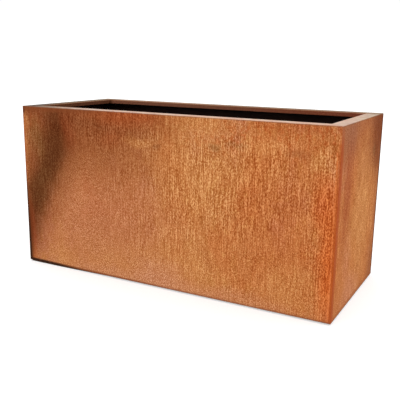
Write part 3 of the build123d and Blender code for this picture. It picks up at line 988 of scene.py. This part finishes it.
def rubber_foot(node, material):
    """Moulded foot: rounded rims, ridges round its side and grooves under it."""
    low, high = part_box(node)
    radius, height = (high.x - low.x) / 2, high.z - low.z
    recess, depth = FOOT_RECESS
    width, groove = FOOT_GROOVE

    def ridged(angle, at):
        return radius - FOOT_RIDGE_DEPTH * (0.5 - 0.5 * math.cos(FOOT_RIDGES * angle))

    profile = [(FOOT_BORE, height, None), (FOOT_BORE, depth, None), (recess - 0.0004, depth, None)]
    profile += [(recess, depth - 0.0004, None), (recess, 0.0004, None), (recess + 0.0004, 0, None)]
    for at in FOOT_GROOVES:
        side = 0.15 * width
        profile += [(at, 0, None), (at + side, groove, None)]
        profile += [(at + width - side, groove, None), (at + width, 0, None)]
    for i, (side, rise) in enumerate(quarter(6)):
        profile.append((radius - FOOT_ROUND * side, FOOT_ROUND * rise, ridged if i > 2 else None))
    for i, (fall, side) in enumerate(quarter(6)):
        profile.append((radius - FOOT_ROUND * side, height - FOOT_ROUND * fall, ridged if i < 5 else None))
    centre = middle((low, high))
    shape = Shape()
    shape.turned(profile, Matrix.Translation((centre.x, centre.y, low.z)), sides=6 * FOOT_RIDGES, closed=True)
    shape.piece("rubber_" + node, material, "foot_rubber", node)


def corner_bead(corner, material):
    """Weld that fills an open corner, ground round, with the hollows that the grinding leaves."""
    side_x, side_y = CORNERS[corner]
    low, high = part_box("corner_weld_" + corner)
    count = round((high.z - low.z) / CORNER_STEP)
    outline = [(SHEET, 0.0), (1.3 * CORNER_GRIND, 0.0)]
    outline += [(CORNER_GRIND * x, CORNER_GRIND * y) for x, y in quarter(6)]
    outline += [(0.0, 1.3 * CORNER_GRIND), (0.0, SHEET)]
    rings = []
    for i in range(count + 1):
        z = low.z + (high.z - low.z) * i / count
        ring = [(side_x * (HALF_LENGTH - SHEET), side_y * (HALF_DEPTH - SHEET), z)]
        for j, (x, y) in enumerate(outline):
            hollow = noise.noise(Vector((140 * z, 0.5 * j, 7 * side_x + 3 * side_y)))
            ripple = 0.5 + 0.5 * math.sin(2 * math.pi * z / CORNER_RIPPLE + 0.35 * abs(j - 5))
            wear = CORNER_WEAR * max(0.0, hollow) * (1.0 + ripple)
            x, y = max(x, wear), max(y, wear)
            ring.append((side_x * (HALF_LENGTH - x), side_y * (HALF_DEPTH - y), z))
        rings.append(ring)
    shape = Shape()
    shape.skin(rings)
    shape.piece("corner_bead_" + corner, material, "weld_metal", "corner_weld_" + corner)


def rim_bead(corner, material):
    """Weld in the groove of a rim mitre, ground flush."""
    side_x, side_y = CORNERS[corner]
    low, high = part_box("rim_weld_" + corner)
    half = high.z - low.z
    sunk = half / math.sqrt(2)  # the box reaches past each end of the centre line by this
    near_x, far_x = sorted((abs(low.x), abs(high.x)))
    near_y, far_y = sorted((abs(low.y), abs(high.y)))
    start = Vector((side_x * (far_x - sunk), side_y * (far_y - sunk), 0))
    finish = Vector((side_x * (near_x + sunk), side_y * (near_y + sunk), 0))
    across = (finish - start).normalized().cross(Vector((0, 0, 1)))
    count = round((finish - start).length / RIM_STEP)
    rings = []
    for i in range(count + 1):
        place = start.lerp(finish, i / count)
        ring = [place + Vector((0, 0, low.z))]
        for j in range(-3, 4):
            share = j / 3
            hollow = noise.noise(Vector((400 * place.x, 400 * place.y, j)))
            wear = RIM_WEAR * (1 - share * share) * (1.0 + hollow)
            ring.append(place + across * half * share + Vector((0, 0, high.z - wear)))
        rings.append(ring)
    shape = Shape()
    shape.skin(rings)
    shape.piece("rim_bead_" + corner, material, "weld_metal", "rim_weld_" + corner)


def stitch_bead(shape, box, seam, seed):
    """Adds a fillet weld with its scales; seam is the side of the box, on each axis, where its legs meet."""
    low, high = box
    size = high - low
    along = max(range(3), key=lambda axis: size[axis])
    first, second = [axis for axis in range(3) if axis != along]
    leg = min(size[first], size[second])
    chance = random.Random(seed)
    scales = round(size[along] / SCALE_PITCH)
    count = scales * BEAD_STEPS
    uneven = [chance.uniform(0.85, 1.0) for scale in range(scales + 2)]
    rings = []
    for i in range(count + 1):
        at = size[along] * i / count
        end = min(at, size[along] - at) / leg
        taper = max(0.12, math.sqrt(max(0.0, 1 - max(0.0, 1 - end) ** 2)))
        corner = Vector((0, 0, 0))
        corner[along] = low[along] + at
        corner[first] = high[first] if seam[first] > 0 else low[first]
        corner[second] = high[second] if seam[second] > 0 else low[second]
        ring = [corner]
        for j in range(9):
            angle = math.radians(90 * j / 8)
            arch = math.sin(2 * angle)
            phase = at / size[along] * scales + 0.7 * arch
            step = uneven[int(phase)] - SCALE_DEPTH * (phase % 1.0)
            reach = leg * taper * (1 + BEAD_CROWN * arch) / (math.cos(angle) + math.sin(angle))
            reach *= 1 - (1 - step) * math.sqrt(max(0.0, arch))
            place = corner.copy()
            place[first] -= seam[first] * min(leg, reach * math.cos(angle))
            place[second] -= seam[second] * min(leg, reach * math.sin(angle))
            ring.append(place)
        rings.append(ring)
    shape.skin(rings)


def stitch_welds(node, seam_of, material):
    """All the stitch welds of one node."""
    shape = Shape()
    for seed, box in enumerate(solids(node)):
        stitch_bead(shape, box, seam_of(middle(box)), seed)
    shape.piece("scaled_" + node, material, "weld_metal", node)


def outwards(value):
    return 1 if value > 0 else -1


def rounded_copy(node, name, material, slot):
    """Stands for a CAD node of punched or folded steel: the same shape with its sharp edges rounded."""
    mesh = bmesh.new()
    mesh.from_mesh(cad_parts[node].data)
    bmesh.ops.remove_doubles(mesh, verts=mesh.verts, dist=1e-6)
    bmesh.ops.dissolve_limit(mesh, angle_limit=math.radians(0.5), verts=mesh.verts, edges=mesh.edges)
    sharp = [edge for edge in mesh.edges if edge.calc_face_angle(0.0) > math.radians(45)]
    bmesh.ops.bevel(
        mesh, geom=sharp, offset=EDGE_ROUNDING, segments=2, profile=0.5, affect="EDGES", clamp_overlap=True
    )
    shape = Shape()
    mesh.verts.index_update()
    shape.points = [vertex.co.copy() for vertex in mesh.verts]
    shape.faces = [tuple(vertex.index for vertex in face.verts) for face in mesh.faces]
    mesh.free()
    shape.piece(name, material, slot, node)


# Welds
for corner, tints in CORNER_TINTS.items():
    corner_bead(corner, weld_metal("corner_weld_rust_" + corner, *tints))
for corner, tints in RIM_TINTS.items():
    rim_bead(corner, weld_metal("rim_weld_rust_" + corner, *tints))
stitch_rust = weld_metal("stitch_weld_rust", UMBER, DARK_UMBER)
coating = black_coating()
stitch_welds("base_welds", lambda centre: (outwards(centre.x), outwards(centre.y), 1), stitch_rust)
stitch_welds("rib_welds", lambda centre: (1, outwards(centre.y), 1), coating)

# Base, ribs and tie
rounded_copy("base_tray", "punched_base_tray", base_steel("base_tray_steel", coated=True), "base_steel")
bearer_rust = base_steel("bearer_steel", coated=False)
for place in ("left", "centre", "right"):
    rounded_copy("base_bearer_" + place, "folded_bearer_" + place, bearer_rust, "base_steel")
for rib in ("front_rib", "back_rib"):
    rounded_copy(rib, "folded_" + rib, coating, "coated_steel")
rounded_copy("tie_bar", "punched_tie_bar", coating, "coated_steel")

# Fasteners and feet
zinc = zinc_plate()
tie_fasteners(zinc)
foot_fasteners(zinc)
rubber = foot_rubber()
for row in ("front", "back"):
    for place in ("left", "centre", "right"):
        rubber_foot("foot_" + row + "_" + place, rubber)


def make_camera():
    data = bpy.data.cameras.new("camera")
    data.lens = CAMERA_LENS
    data.clip_end = 100.0
    camera = bpy.data.objects.new("camera", data)
    bpy.context.scene.collection.objects.link(camera)
    turn = rotation(CAMERA_YAW, "Z") @ rotation(90 + CAMERA_PITCH, "X") @ rotation(CAMERA_ROLL, "Z")
    camera.matrix_world = Matrix.Translation(CAMERA_PLACE) @ turn
    bpy.context.scene.camera = camera


def make_floor():
    """White floor that glows around the planter, so that it stays white close to the walls, with painted
    shadow under the planter.
    """
    mesh = bpy.data.meshes.new("floor")
    reach = 40.0
    corners = [(-reach, -reach, 0), (reach, -reach, 0), (reach, reach, 0), (-reach, reach, 0)]
    mesh.from_pydata(corners, [], [(0, 1, 2, 3)])
    floor = bpy.data.objects.new("floor", mesh)
    bpy.context.scene.collection.objects.link(floor)
    shader = Shader("floor_paint", specular=0.1)
    shader.output("Roughness", 0.9)
    x, y, z = shader.axes(shader.place)
    past_end = shader.math("SUBTRACT", shader.math("ABSOLUTE", x), HALF_LENGTH)
    past_side = shader.math("SUBTRACT", shader.math("ABSOLUTE", y), HALF_DEPTH)
    around = shader.math("MAXIMUM", past_end, past_side)
    around = shader.math("ADD", around, shader.span(x, *GLOW_GROWS, 0.0, GLOW_REACH))
    shader.output("Base Color", shader.mix(shader.span(around, -FLOOR_EDGE, 0.0), FLOOR_SHADOW, FLOOR_PAINT))
    shader.output("Emission Color", (1.0, 1.0, 1.0, 1.0))
    shader.output("Emission Strength", shader.span(around, -FLOOR_EDGE, 0.0, 0.0, FLOOR_GLOW))
    mesh.materials.append(shader.material)


def make_light():
    """A white studio all round, brighter overhead."""
    world = bpy.data.worlds.new("studio")
    bpy.context.scene.world = world
    world.use_nodes = True
    nodes = world.node_tree.nodes
    links = world.node_tree.links
    direction = nodes.new("ShaderNodeTexCoord")
    split = nodes.new("ShaderNodeSeparateXYZ")
    links.new(direction.outputs["Generated"], split.inputs[0])
    rise = nodes.new("ShaderNodeMapRange")
    set_range(rise, 0.1, 1.0, LIGHT_HORIZON, LIGHT_OVERHEAD)
    links.new(split.outputs["Z"], rise.inputs["Value"])
    background = nodes["Background"]
    background.inputs["Color"].default_value = (1.0, 1.0, 1.0, 1.0)
    links.new(rise.outputs["Result"], background.inputs["Strength"])
    bpy.context.scene.view_settings.view_transform = "Standard"


make_camera()
make_floor()
make_light()
